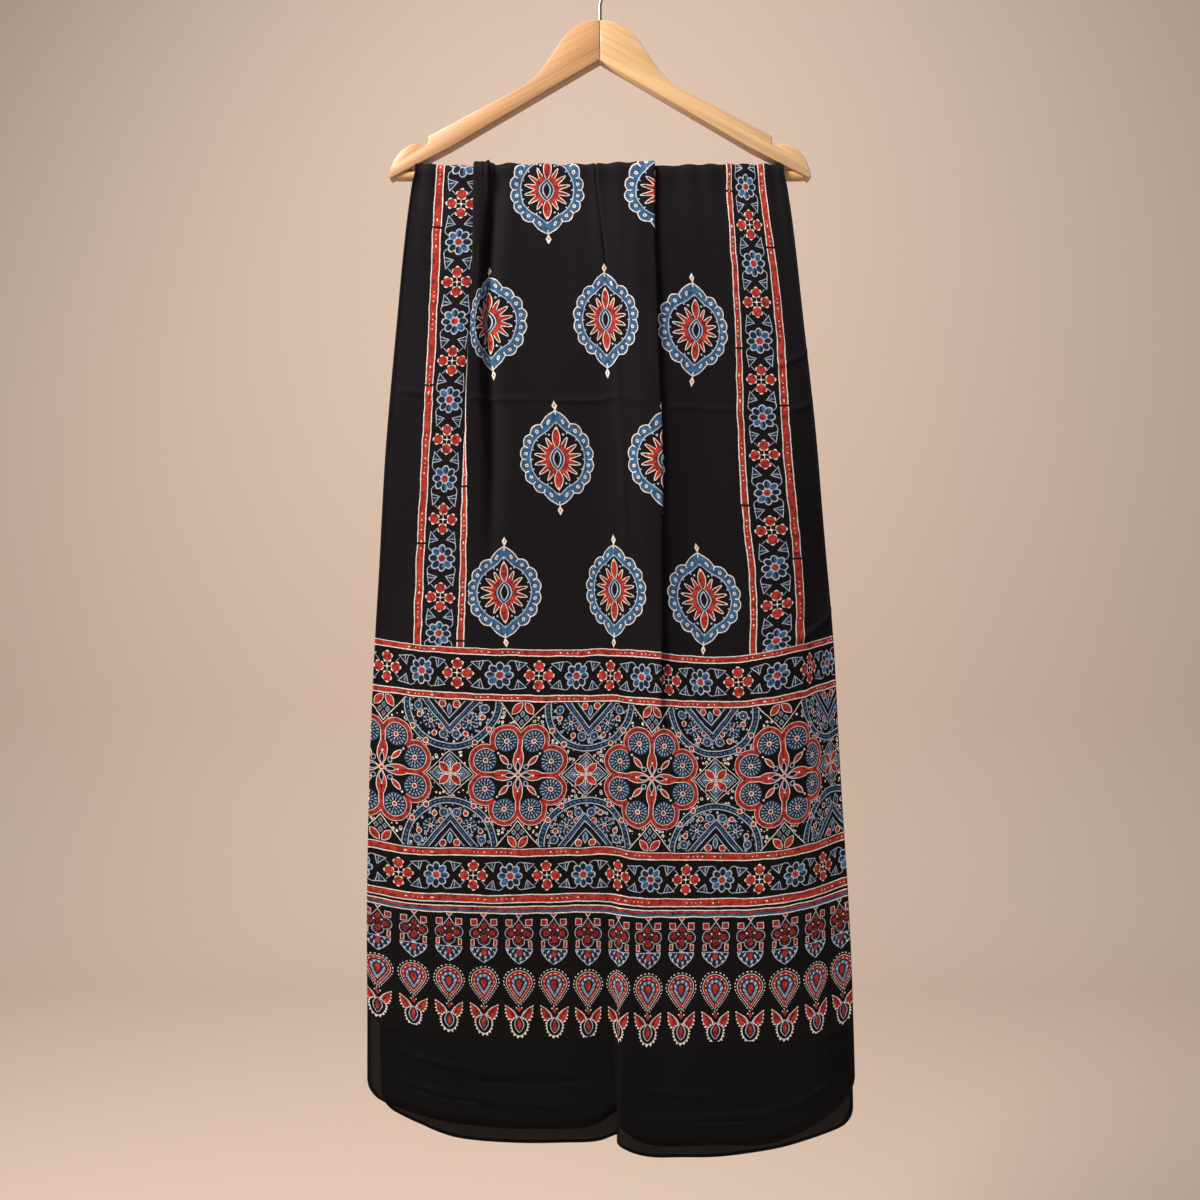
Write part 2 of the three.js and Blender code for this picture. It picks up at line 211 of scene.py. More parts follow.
def connect(tree, node, inputs):
    """Sets or links the inputs of a node."""
    for socket, value in inputs.items():
        if isinstance(value, bpy.types.NodeSocket):
            tree.links.new(value, node.inputs[socket])
        else:
            node.inputs[socket].default_value = value


def add_node(tree, kind, inputs=None, stops=None, **settings):
    """Adds a node with its settings, its inputs set or linked, and the stops of its ramp."""
    node = tree.nodes.new(kind)
    for name, value in settings.items():
        setattr(node, name, value)
    connect(tree, node, inputs or {})
    for i, (place, colour) in enumerate(stops or []):
        ramp = node.color_ramp
        stop = ramp.elements[i] if i < 2 else ramp.elements.new(place)
        stop.position = place
        stop.color = colour
    return node


def new_material(name):
    """A material with an empty Principled shader, its node tree and that shader."""
    material = bpy.data.materials.new(name)
    material.use_nodes = True
    tree = material.node_tree
    return material, tree, tree.nodes["Principled BSDF"]


def ease(value):
    t = np.clip(value, 0, 1)
    return t * t * (3 - 2 * t)


class Reading:
    """A number read at each point of the cloth. A sum or a comparison on it is one Math node."""

    def __init__(self, tree, socket):
        self.tree = tree
        self.socket = socket

    def __add__(self, other):
        return work("ADD", self, other)

    def __sub__(self, other):
        return work("SUBTRACT", self, other)

    def __mul__(self, other):
        return work("MULTIPLY", self, other)

    def __truediv__(self, other):
        return work("DIVIDE", self, other)

    def __radd__(self, other):
        return work("ADD", other, self)

    def __rsub__(self, other):
        return work("SUBTRACT", other, self)

    def __rmul__(self, other):
        return work("MULTIPLY", other, self)

    def __abs__(self):
        return work("ABSOLUTE", self)

    def __lt__(self, other):
        return work("LESS_THAN", self, other)

    def __gt__(self, other):
        return work("GREATER_THAN", self, other)

    def __and__(self, other):
        return work("MULTIPLY", self, other)

    def __or__(self, other):
        return work("MAXIMUM", self, other)


def work(operation, *numbers):
    """One Math operation on readings and plain numbers."""
    tree = next(n.tree for n in numbers if isinstance(n, Reading))
    inputs = {i: n.socket if isinstance(n, Reading) else n for i, n in enumerate(numbers)}
    return Reading(tree, add_node(tree, "ShaderNodeMath", inputs, operation=operation).outputs[0])


def choose(where, yes, no):
    """The first value where a test holds, the second elsewhere."""
    inputs = {i: n.socket if isinstance(n, Reading) else n for i, n in zip((0, 2, 3), (where, no, yes))}
    return Reading(where.tree, add_node(where.tree, "ShaderNodeMix", inputs).outputs[0])


def hypot(x, y):
    return work("SQRT", work("MULTIPLY_ADD", x, x, y * y))


def wrap(value, half):
    return work("WRAP", value, half, -half)


def lens(x, y, half_width, half_length):
    """Less than 1 inside a pointed oval."""
    return work("MULTIPLY_ADD", y / half_length, y / half_length, abs(x) / half_width)


def diamond(x, y, half_width, half_length):
    return abs(x) / half_width + abs(y) / half_length


def ring_of(x, y, count, radius, turn=0):
    """Distance to the nearest of some points that stand on a ring, and the same with sides."""
    angle = wrap(work("ARCTAN2", x, y) - turn, math.pi / count)
    far = hypot(x, y)
    out = work("MULTIPLY_ADD", far, work("COSINE", angle), -radius)
    side = far * work("SINE", angle)
    return hypot(out, side), out, side


# The print, in millimetres on the flat cloth. Inks are numbers until the last ramp gives them colours.

BLACK, RED, BLUE, PALE, CREAM, INDIGO, FIELD = (number / 8 for number in range(7))

# Field of medallions: where it starts, its middle, its first row, and the pitch of its rows and columns,
# with closer rows behind the bar
FIELD_FROM = 497
FIELD_MIDDLE = -9
FIRST_ROW = 557
ROW_PITCH = 139.3
BACK_ROWS_FROM = 975
BACK_PITCH = 121.8
COLUMN_PITCH = 114

# Side borders: their middle, where they start on each side of it, the red lines in them, and the joints of
# the printing blocks along them, which come earlier on the right and in the outer lines
BORDER_MIDDLE = -5
BORDER_FROM = 155
SIDE_LINE_MIDDLES = (207.3, 160.8)
BLOCK_JOINT = 504
BLOCK_HALF = 82
JOINT_SHIFT_RIGHT = 14
JOINT_SHIFT_OUTER = 60

# Flower strips: the repeat as drawn and as printed at the ends and on the right, the middle of each strip,
# half its width, and the place of one flower along it
STRIP_REPEAT = 82
END_REPEAT = 77.4
RIGHT_REPEAT = 79.8
STRIP_MIDDLE = 184
UPPER_STRIP = 469.6
LOWER_STRIP = 262.6
STRIP_HALF = 18.4
LEFT_FLOWER = 511
RIGHT_FLOWER = 666.5
UPPER_FLOWER = -206.6
LOWER_FLOWER = -190

# Bands across each end, by their distance from the hem: the wide band, the middles of the red lines, and
# the rows of motifs below them, with the foot of each row, a motif's middle and half their pitch
WIDE_BAND_MIDDLE = 367.2
WIDE_BAND_HALF = 74.3
ROSETTE_MIDDLE = 39.5
ROSETTE_HALF = 71.75
END_LINE_MIDDLES = (237.9, 287.2, 446, 493.2)
ROWS_TO = 221.6
JEWELS_FROM = 168.6
BUDS_TO = 126
JEWELS_FOOT = 171
TEARDROPS_FOOT = 123.4
BUDS_FOOT = 91
MOTIF_MIDDLE = -249.6
MOTIF_HALF = 18.2


def steps(reading, table):
    """The ink for each stretch of a reading, from rows of (start, ink)."""
    start, end = table[0][0], table[-1][0] * 1.02 - table[0][0] * 0.02
    place = (reading - start) / (end - start)
    stops = [((at - start) / (end - start), [ink] * 3 + [1]) for at, ink in table]
    ramp = add_node(reading.tree, "ShaderNodeValToRGB", {0: place.socket}, stops)
    ramp.color_ramp.interpolation = "CONSTANT"
    return Reading(reading.tree, ramp.outputs[0])


def paint(under, where, ink):
    return choose(where, ink, under)


def rings(under, reading, table):
    """Paints the stretches of a reading, up to the start in the table's last row."""
    return paint(under, reading < table[-1][0], steps(reading, table))


def medallions(u, v):
    """Pointed blue medallions with a beaded, scalloped rim and a red sun, in rows of three and two."""
    beyond = v > BACK_ROWS_FROM
    pitch = choose(beyond, BACK_PITCH, ROW_PITCH)
    row = (v - choose(beyond, BACK_ROWS_FROM - 3 * BACK_PITCH, FIRST_ROW)) / pitch
    number = work("ROUND", row)
    shift = work("FLOORED_MODULO", number, 2) * (COLUMN_PITCH / 2)
    place = u - FIELD_MIDDLE - shift
    column = work("ROUND", place / COLUMN_PITCH) * COLUMN_PITCH
    x = place - column
    y = (row - number) * pitch
    printed = (abs(column + shift) < 150) & (abs(number - 3.5) < 3.9)

    far = hypot(x, y)
    angle = work("ARCTAN2", abs(x), abs(y))
    point = work("MAXIMUM", 1 - angle / 0.44, 0)
    upright = work("COSINE", angle)
    edge = 36.2 + 10.4 * point * point + 2.4 * upright * upright
    inside = edge + 2.6 * abs(work("SINE", angle * 8)) - far
    core = edge * 0.755 - far
    scallop = math.pi / 8
    bead = hypot(wrap(angle - scallop / 2, scallop / 2) * far, inside - 6.4)
    cusp = abs(wrap(angle, scallop / 2)) * far

    ink = steps(inside, [(-2, BLACK), (0, CREAM), (1.1, BLUE), (14, BLUE)])
    ink = paint(ink, (cusp < 0.6) & (abs(inside - 2.6) < 1.9), CREAM)
    ink = paint(ink, bead < 1.8, CREAM)
    ink = paint(ink, bead < 0.8, BLUE)
    ink = paint(ink, core > -1, PALE)
    ink = paint(ink, core > 0, BLACK)
    ink = paint(ink, (cusp < 0.6) & (abs(core - 0.4) < 1.3), PALE)

    ray = abs(work("SINE", wrap(work("ARCTAN2", x, y), math.pi / 14))) * far
    ray_width = 3.2 * work("SQRT", work("MAXIMUM", 1 - far * far / 24.6 ** 2, 0))
    sun = hypot(x, y * 0.8)
    ink = paint(ink, ray < ray_width, choose(sun > 12.5, CREAM, RED))
    ink = paint(ink, ray < ray_width - 0.8, choose(sun > 18.5, BLACK, RED))
    petal = lens(x, abs(y) - 21.5, 3.5, 10.5)
    ink = paint(ink, petal < 1.25, CREAM)
    ink = paint(ink, petal < 1.02, RED)
    ink = paint(ink, hypot(x, abs(y) - 30.5) < 0.9, CREAM)
    ink = paint(ink, hypot(abs(x) - 7.2, abs(y) - 24.8) < 1.1, PALE)
    eye = lens(x, y, 8, 12.4)
    eye_inks = [(0, BLACK), (0.4, PALE), (0.57, INDIGO), (0.84, PALE), (1, BLACK), (1.12, BLACK)]
    ink = rings(ink, eye, eye_inks)
    finial = diamond(x, abs(y) - 53.6, 2.6, 5.2)
    ink = paint(ink, finial < 1, choose(finial < 0.3, RED, CREAM))
    return ink & printed


def flower_strip(along, across):
    """Blue eight-petalled flowers and red clovers in turn, with leaf pairs on a vine between them."""
    half = STRIP_REPEAT / 2
    s = wrap(along, half)
    aside = abs(across)
    vine = abs(hypot(abs(s) - 12.6, aside - 9.4) - 5.4)
    ink = ((vine < 0.35) & (aside > 11)) * PALE

    _, out, side = ring_of(s, across, 8, 8.6)
    petal = hypot(side / 4.1, out / 5.3)
    ink = paint(ink, petal < 1, PALE)
    turn = wrap(work("ARCTAN2", s, across), math.pi / 2)
    ink = paint(ink, petal < 0.74, choose(turn > 0.4, BLUE, INDIGO))
    far = hypot(s, across)
    ink = paint(ink, far < 4.5, PALE)
    ink = paint(ink, far < 3.6, RED)

    leaf_s = abs(s) - 20.3
    leaf_c = aside - 10.5
    leaf = work("MAXIMUM", leaf_s * 0.668 - leaf_c * 0.744, leaf_s * -0.958 - leaf_c * 0.287)
    leaf = work("MAXIMUM", leaf, leaf_s * 0.145 + leaf_c * 0.99)
    leaf_inks = [(-4, BLUE), (1, INDIGO), (1.9, BLACK), (2.8, PALE), (3.6, PALE)]
    ink = rings(ink, leaf, leaf_inks)
    ink = paint(ink, (abs(leaf_s + 0.6) < 0.3) & (leaf < 3), PALE)

    t = abs(s) - half
    stem = abs(abs(t) - aside - 3.5)
    ink = paint(ink, (stem < 0.4) & (abs(aside - 8) < 2.2), PALE)
    clover, out, side = ring_of(t, across, 4, 10)
    prick = 0.75 * work("COSINE", work("ARCTAN2", side, out) * 5)
    ink = paint(ink, (work("MINIMUM", abs(t), aside) < 0.28) & (hypot(t, across) < 6), CREAM)
    ink = paint(ink, clover - prick < 5.5, CREAM)
    ink = paint(ink, clover < 4.85, RED)
    ink = paint(ink, hypot(t, across) < 1.3, CREAM)
    return ink


def ground_curls(u, w):
    """Cream dots and curls scattered in the black of the wide band."""
    curl_size = 3.7
    place = add_node(u.tree, "ShaderNodeCombineXYZ", {0: u.socket, 1: w.socket})
    cells = add_node(u.tree, "ShaderNodeTexVoronoi",
                     {"Vector": place.outputs[0], "Scale": 1 / curl_size, "Randomness": 0.8})
    away = Reading(u.tree, cells.outputs["Distance"])
    hue = add_node(u.tree, "ShaderNodeSeparateXYZ", {0: cells.outputs["Color"]})
    curled = Reading(u.tree, hue.outputs[0]) > 0.45
    return choose(curled, abs(away - 0.34) < 0.1, away < 0.21) * CREAM


def wheel(ink, out, side, radius, spokes):
    """A dark roundel: two rings of fine strokes round a cream ring with a red middle."""
    far = hypot(out, side)
    turn = work("ARCTAN2", side, out)
    inks = [(0, RED), (0.16, CREAM), (0.25, BLACK), (0.5, INDIGO), (0.95, BLUE), (1, BLUE)]
    ink = paint(ink, far < radius, steps(far / radius, inks))
    inner = far < radius * 0.6
    stroke = choose(inner, work("COSINE", turn * (spokes * 0.6)), work("SINE", turn * spokes))
    ringed = (far > radius * 0.34) & (far < radius * 0.93) & (abs(far - radius * 0.61) > radius * 0.05)
    ink = paint(ink, (stroke > 0.1) & ringed, BLUE)
    return paint(ink, (stroke > 0.72) & ringed, PALE)


def half_rounds(ink, gap, edge):
    """Blue half rounds on both edges of the wide band, each with a pointed arch and flowers inside."""
    far = hypot(gap, edge)
    curls = (ink > 0) & (far < 43)
    far_inks = [(0, BLACK), (43.4, PALE), (44.4, BLACK), (45.2, INDIGO), (48.5, BLACK), (49.2, PALE),
                (50.2, BLACK), (51, BLACK)]
    ink = rings(ink, far, far_inks)
    ink = paint(ink, curls, PALE)
    dash = work("SINE", work("ARCTAN2", gap, edge) * 61) > -0.3
    ink = paint(ink, dash & (abs(far - 46.9) < 1), BLUE)

    bud = work("MINIMUM", hypot(gap - 6.7, edge - 34.5), hypot(gap - 33.7, edge - 7))
    bud_inks = [(0, PALE), (0.8, INDIGO), (2.2, BLUE), (3, INDIGO), (3.8, PALE), (4.6, PALE)]
    ink = rings(ink, bud, bud_inks)
    leaf = work("MINIMUM", hypot(gap - 16.4, edge - 33.6), hypot(gap - 9.6, edge - 26.4))
    leaf = work("MINIMUM", leaf, hypot(gap - 32.2, edge - 15.8))
    ink = rings(ink, leaf, [(0, RED), (2.2, CREAM), (2.9, CREAM)])
    ink = wheel(ink, gap - 20.2, edge - 21, 8, 10)

    arch = gap / 29.8 + edge / 34
    arch_inks = [(0, BLACK), (0.5, PALE), (0.535, INDIGO), (0.6, BLACK), (0.74, PALE), (0.78, BLACK),
                 (0.8, INDIGO), (0.93, BLACK), (0.965, PALE), (1.005, BLACK), (1.03, BLACK)]
    ink = rings(ink, arch, arch_inks)
    dash = work("SINE", (gap - edge) * 1.5) > -0.3
    ink = paint(ink, dash & (abs(arch - 0.865) < 0.04), BLUE)
    leaf = hypot(gap - 7.4, edge - 3.4)
    ink = rings(ink, leaf, [(0, RED), (3.1, CREAM), (3.8, CREAM)])
    drop = lens(gap, edge - 8.5, 2.8, 6)
    return rings(ink, drop, [(0, BLUE), (0.7, PALE), (1, PALE)])


def diamonds(ink, x, gap, y, edge):
    """Diamonds between the rosettes and half diamonds on the edges above and below them."""
    fan = x / 24 + edge / 27.4
    ink = rings(ink, fan, [(0, BLACK), (0.955, CREAM), (1, BLACK), (1.03, BLACK)])
    petal = lens((x - 6) * 0.76 - (edge - 5.6) * 0.65, (x - 6) * 0.65 + (edge - 5.6) * 0.76, 4.2, 7.8)
    ink = rings(ink, petal, [(0, RED), (0.82, CREAM), (1, CREAM)])
    chip = work("MINIMUM", diamond(x, edge - 11, 2.4, 3.4), diamond(x - 4.5, edge - 15.4, 2.6, 3.2))
    chip = work("MINIMUM", chip, diamond(x, edge - 20, 2.4, 3.2))
    ink = rings(ink, chip, [(0, BLUE), (0.5, INDIGO), (0.75, PALE), (1, PALE)])

    box = gap / 25.2 + y / 23.8
    ink = rings(ink, box, [(0, BLACK), (0.965, CREAM), (1, BLACK), (1.03, BLACK)])
    tip = work("MINIMUM", diamond(gap - 12.6, y, 9, 7.6), diamond(gap, y - 12, 7.6, 9))
    ink = rings(ink, tip, [(0, BLUE), (0.42, INDIGO), (0.9, PALE), (1, PALE)])
    ink = paint(ink, (tip < 0.8) & (work("SINE", (gap + y) * 2.1) > 0.75), PALE)
    petal = lens((gap - y) * 0.707, (gap + y) * 0.707 - 8.6, 4.2, 7.4)
    ink = rings(ink, petal, [(0, RED), (0.82, CREAM), (1, CREAM)])
    ink = paint(ink, (work("MINIMUM", gap, y) < 0.35) & (abs(box - 0.3) < 0.22), CREAM)
    return paint(ink, hypot(gap, y) < 1.2, CREAM)


def rosettes(ink, x, y):
    """Eight-lobed red rosettes: a blue roundel in each lobe, four red spokes, a bud on each diagonal."""
    main = work("MAXIMUM", x, y)
    off = work("MINIMUM", x, y)
    knob = hypot(main - 46.5, off - 32.4)
    ink = rings(ink, knob, [(0, RED), (2.2, CREAM), (3, CREAM)])
    lobe, out, side = ring_of(x, y, 8, 37.7, math.pi / 8)
    lobe_inks = [(0, BLACK), (11.8, CREAM), (12.3, RED), (14.1, INDIGO), (14.6, RED), (16.7, CREAM),
                 (17.2, BLACK), (18.2, BLACK)]
    ink = rings(ink, lobe, lobe_inks)
    far = hypot(x, y)
    ink = paint(ink, far < 35.5, BLACK)
    ink = wheel(ink, out, side, 10.8, 17)

    body = (main - 16) / 15
    spoke = work("MAXIMUM", 5.8 * (1 - body * body), 2.9 * (main > 16)) - off
    spoke = spoke & (main < 37)
    ink = paint(ink, spoke > 0, CREAM)
    ink = paint(ink, spoke > 0.75, RED)
    slit = lens(off, main - 9.2, 2.8, 6)
    ink = rings(ink, slit, [(0, BLACK), (0.68, PALE), (1, PALE)])
    ink = paint(ink, (off < 0.45) & (abs(main - 24) < 8), INDIGO)
    ink = paint(ink, hypot(off, main - 16.6) < 1.1, CREAM)
    bud = lens((x - y) * 0.707, (x + y) * 0.707 - 21.6, 2.9, 7.8)
    ink = rings(ink, bud, [(0, RED), (0.7, CREAM), (1, CREAM)])
    seed = hypot((x - y) * 0.707, (x + y) * 0.707 - 12.4)
    ink = rings(ink, seed, [(0, BLACK), (1.1, INDIGO), (1.9, PALE), (2.7, PALE)])
    ink = paint(ink, hypot((x - y) * 0.707, (x + y) * 0.707 - 31.4) < 1.1, CREAM)
    return rings(ink, far, [(0, RED), (2, CREAM), (2.7, CREAM)])


def wide_band(u, w):
    """The wide band: x and y from the nearest rosette's middle, gap and edge from the half rounds'."""
    x = abs(wrap(u - ROSETTE_MIDDLE, ROSETTE_HALF))
    y = abs(w - WIDE_BAND_MIDDLE)
    gap = ROSETTE_HALF - x
    edge = WIDE_BAND_HALF - y
    ink = half_rounds(ground_curls(u, w), gap, edge)
    ink = diamonds(ink, x, gap, y, edge)
    return rosettes(ink, x, y)


def jewels(x, j):
    """A trefoil over a blue bowl, with red squares at its corners. j is the height in the row."""
    ax = abs(x)
    bowl = lens(x, j - 15.4, 13.9, 17)
    ink = ((bowl < 1) & (j < 15.4)) * PALE
    ink = paint(ink, (bowl < 0.92) & (j < 14.7), INDIGO)
    stroke = work("SINE", work("ARCTAN2", x, 20 - j) * 17) > 0.35
    ringed = work("SINE", bowl * 16) > -0.4
    ink = paint(ink, (bowl < 0.92) & (j < 14.7) & stroke & ringed, PALE)
    core = hypot(x / 2.6, (j - 10.4) / 3.6)
    ink = rings(ink, core, [(0, RED), (1, INDIGO), (1.3, INDIGO)])
    ink = paint(ink, hypot(x / 2.4, (j - 15.6) / 1.2) < 1, PALE)

    trefoil = work("MINIMUM", hypot(ax - 8.1, j - 30.9) - 6.7, 5.5 * diamond(x, j - 36, 8, 11) - 5.5)
    trefoil = work("MINIMUM", trefoil, hypot(x, j - 23.5) - 6.4)
    trefoil_inks = [(-9, BLACK), (-0.65, PALE), (0, PALE)]
    ink = rings(ink, trefoil, trefoil_inks)
    lattice = work("MAXIMUM", work("SINE", (x + j) * 1.6), work("SINE", (x - j) * 1.6))
    ink = paint(ink, (trefoil < -1.6) & (lattice > 0.82), INDIGO)
    ink = paint(ink, (trefoil < -1.6) & (lattice < 0), RED)
    blob = work("MINIMUM", hypot(ax - 8.3, j - 30.7), hypot(x, j - 38.6))
    blob = work("MINIMUM", blob, hypot(x, (j - 25) / 1.3))
    blob_inks = [(0, RED), (0.8, BLACK), (1.5, RED), (2.7, BLACK), (3.6, BLACK)]
    ink = rings(ink, blob, blob_inks)
    ink = paint(ink, hypot(ax - 4.1, j - 34) < 0.9, CREAM)
    ink = paint(ink, hypot(ax - 4.4, j - 26.6) < 0.9, PALE)
    square = work("MAXIMUM", abs(ax - 10.2), abs(j - 42))
    square = work("MINIMUM", square, work("MAXIMUM", (abs(ax - 11.4) + 1.4), abs(j - 20.2)))
    square_inks = [(0, RED), (0.9, INDIGO), (1.5, RED), (2.9, CREAM), (3.4, CREAM)]
    ink = rings(ink, square, square_inks)
    finial = ax / 3.5 + (50.6 - j) / 4.2
    return rings(ink, finial, [(-1, RED), (0.74, CREAM), (1, CREAM)])


def teardrops(x, k):
    """A beaded teardrop, its point towards the end of the cloth. k is the height in the row."""
    low = work("MAXIMUM", 26 - k, 0)
    high = work("MAXIMUM", k - 26, 0)
    tear = work("MULTIPLY_ADD", low * low / (low + 8), 0.8, hypot(x, high))
    tear_inks = [(0, RED), (3.2, BLACK), (4.6, BLUE), (5.4, PALE), (7.9, BLACK), (9.2, RED), (12.1, BLACK),
                 (13, CREAM), (13.6, BLACK), (15.3, CREAM), (16.3, BLACK)]
    ink = steps(tear, tear_inks)
    turn = work("ARCTAN2", x, k - 18)
    ink = paint(ink, (tear > 15) & (work("SINE", turn * 34) < 0.2), BLACK)
    ink = paint(ink, (abs(tear - 10.7) < 0.45) & (work("SINE", turn * 21) > 0.6), CREAM)
    return paint(ink, (abs(tear - 6.5) < 1.7) & (work("SINE", turn * 19) < 0), BLUE)


def buds(x, m):
    """A pointed shield with a scalloped edge under two red wings. m is the height in the row."""
    ax = abs(x)
    up = (ax - 9) * 0.485 + (m - 24.6) * 0.874
    aside = (ax - 9) * 0.874 - (m - 24.6) * 0.485
    tuft = 0.2 * (aside > 0) * work("SINE", up * 1.7)
    wing = lens(aside, up, 4.7 - up * 0.2, 11)
    ink = (wing + tuft < 1) * CREAM
    ink = paint(ink, wing < 0.8, RED)
    ink = paint(ink, (abs(aside + 1.2) < 0.45) & (abs(up) < 6), BLACK)
    ink = paint(ink, (abs(ax - (m - 18.6) * 0.6) < 0.5) & (abs(m - 23) < 4.6), PALE)
    ink = paint(ink, diamond(x, m - 29, 2.2, 3.2) < 1, RED)
    ink = paint(ink, hypot(ax - 2.7, m - 31) < 0.8, CREAM)
    tall = work("MAXIMUM", (m - 14) / 7.6, (14 - m) / 14)
    shield = hypot(x / 9.2, tall)
    spike = 0.09 * work("SINE", work("ARCTAN2", x, m - 14) * 19)
    ink = paint(ink, shield < 1.06, BLACK)
    ink = paint(ink, shield + spike < 1, steps(shield, [(0, BLACK), (0.86, CREAM), (1.1, CREAM)]))
    seed = lens(x, m - 13.4, 5, 9)
    seed_inks = [(0, RED), (0.44, BLACK), (0.6, INDIGO), (0.82, PALE), (1, PALE)]
    return rings(ink, seed, seed_inks)


def end_rows(u, w):
    """Jewels, teardrops and buds, one above the other, in rows along the end of the cloth."""
    x = wrap(u - MOTIF_MIDDLE, MOTIF_HALF)
    low = work("MAXIMUM", teardrops(x, w - TEARDROPS_FOOT), buds(x, w - BUDS_FOOT) & (w < BUDS_TO))
    ink = paint(jewels(x, w - JEWELS_FOOT), w < JEWELS_FROM, low)
    return ink & (w > PLAIN_END) & (w < ROWS_TO)


def printed_ink(u, v):
    """The ink at a place of the cloth: u across from its middle, v along from its front hem."""
    w = work("MINIMUM", v, CLOTH_LENGTH - v)
    aside = abs(u - BORDER_MIDDLE)
    at_end = w < FIELD_FROM
    upper = w > WIDE_BAND_MIDDLE

    along_end = (u - choose(upper, UPPER_FLOWER, LOWER_FLOWER)) * (STRIP_REPEAT / END_REPEAT)
    along_right = (v - RIGHT_FLOWER) * (STRIP_REPEAT / RIGHT_REPEAT)
    strip_along = choose(at_end, along_end, choose(u > 0, along_right, v - LEFT_FLOWER))
    strip_across = choose(at_end, w - choose(upper, UPPER_STRIP, LOWER_STRIP), aside - STRIP_MIDDLE)
    strip = flower_strip(strip_along, strip_across) & (abs(strip_across) < STRIP_HALF)

    side_lines = steps(aside, [
        (145, BLACK), (157.4, CREAM), (158.4, BLACK), (158.8, RED), (162.8, BLACK), (163.2, CREAM),
        (164.2, BLACK), (202.5, CREAM), (203.6, BLACK), (204.3, RED), (210.1, BLACK), (210.7, CREAM),
        (211.8, BLACK)])
    end_lines = steps(w, [
        (221, BLACK), (222, CREAM), (223, BLACK), (223.7, BLUE), (225.6, BLACK), (226.2, RED),
        (228.2, BLACK), (229, CREAM), (230, BLACK), (233.2, CREAM), (234.3, BLACK), (234.9, RED),
        (240.8, BLACK), (241.3, CREAM), (242.4, BLACK), (282.8, CREAM), (283.9, BLACK), (284.5, RED),
        (289.8, BLACK), (290.3, CREAM), (291.4, BLACK)])
    field_lines = steps(w, [
        (441, BLACK), (442.4, CREAM), (443.5, BLACK), (444, RED), (448.1, BLACK), (448.5, CREAM),
        (449.6, BLACK), (489.5, CREAM), (490.6, BLACK), (491, RED), (495.4, BLACK), (495.8, CREAM),
        (496.9, BLACK)])
    shift = choose(u > 0, JOINT_SHIFT_RIGHT, 0) + choose(aside > STRIP_MIDDLE, JOINT_SHIFT_OUTER, 0)
    joint = abs(wrap(v - BLOCK_JOINT + shift, BLOCK_HALF)) < 1.1
    side_lines = side_lines * (1 - joint)

    field = choose(aside > BORDER_FROM, work("MAXIMUM", side_lines, strip), medallions(u, v))
    ends = work("MAXIMUM", end_lines, field_lines)
    ends = work("MAXIMUM", ends, strip)
    ends = paint(ends, abs(w - WIDE_BAND_MIDDLE) < WIDE_BAND_HALF, wide_band(u, w))
    ends = paint(ends, w < ROWS_TO, end_rows(u, w))
    ink = choose(at_end, ends, field)

    to_end_line = abs(w - END_LINE_MIDDLES[0])
    for middle in END_LINE_MIDDLES[1:]:
        to_end_line = work("MINIMUM", to_end_line, abs(w - middle))
    to_side_line = work("MINIMUM", *(abs(aside - middle) for middle in SIDE_LINE_MIDDLES))
    along = choose(at_end, u, v)
    to_line = choose(at_end, to_end_line, to_side_line)
    dots = hypot(wrap(along + 3 * work("SINE", along * 0.21), 3.6), to_line)
    ink = paint(ink, (dots < 0.7) & (work("SINE", along * 0.083) > -0.3), CREAM)
    return paint(ink, (ink < RED / 2) & (w > FIELD_FROM), FIELD)


def flat_place(tree):
    """The place on the flat cloth in millimetres, from its UV map."""
    uv = add_node(tree, "ShaderNodeUVMap", uv_map="flat")
    parts = add_node(tree, "ShaderNodeSeparateXYZ", {0: uv.outputs[0]})
    u = Reading(tree, parts.outputs[0]) * (1 / MM) - HALF_WIDTH
    v = Reading(tree, parts.outputs[1]) * (1 / MM)
    return u, v


def dull_cotton(tree, shader, u, v):
    """Gives a shader what both cottons share: uneven threads along and across, and hardly any gloss."""
    # Real threads are about 0.2 mm wide, too fine to show, so their streaks are drawn coarser
    streak_width = 1.6
    streak_length = 26
    streaks = []
    for width, length in ((streak_width, streak_length), (streak_length, streak_width)):
        stretched = {0: (u * (1 / width)).socket, 1: (v * (1 / length)).socket}
        place = add_node(tree, "ShaderNodeCombineXYZ", stretched)
        noise = add_node(tree, "ShaderNodeTexNoise", {"Vector": place.outputs[0], "Scale": 1, "Detail": 2})
        streaks.append(Reading(tree, noise.outputs["Fac"]))
    threads = (streaks[0] + streaks[1]) * 0.5
    bump = add_node(tree, "ShaderNodeBump",
                    {"Height": threads.socket, "Strength": 0.12, "Distance": 0.6 * MM})
    connect(tree, shader, {"Normal": bump.outputs[0], "Roughness": 0.86, "Specular IOR Level": 0.11})


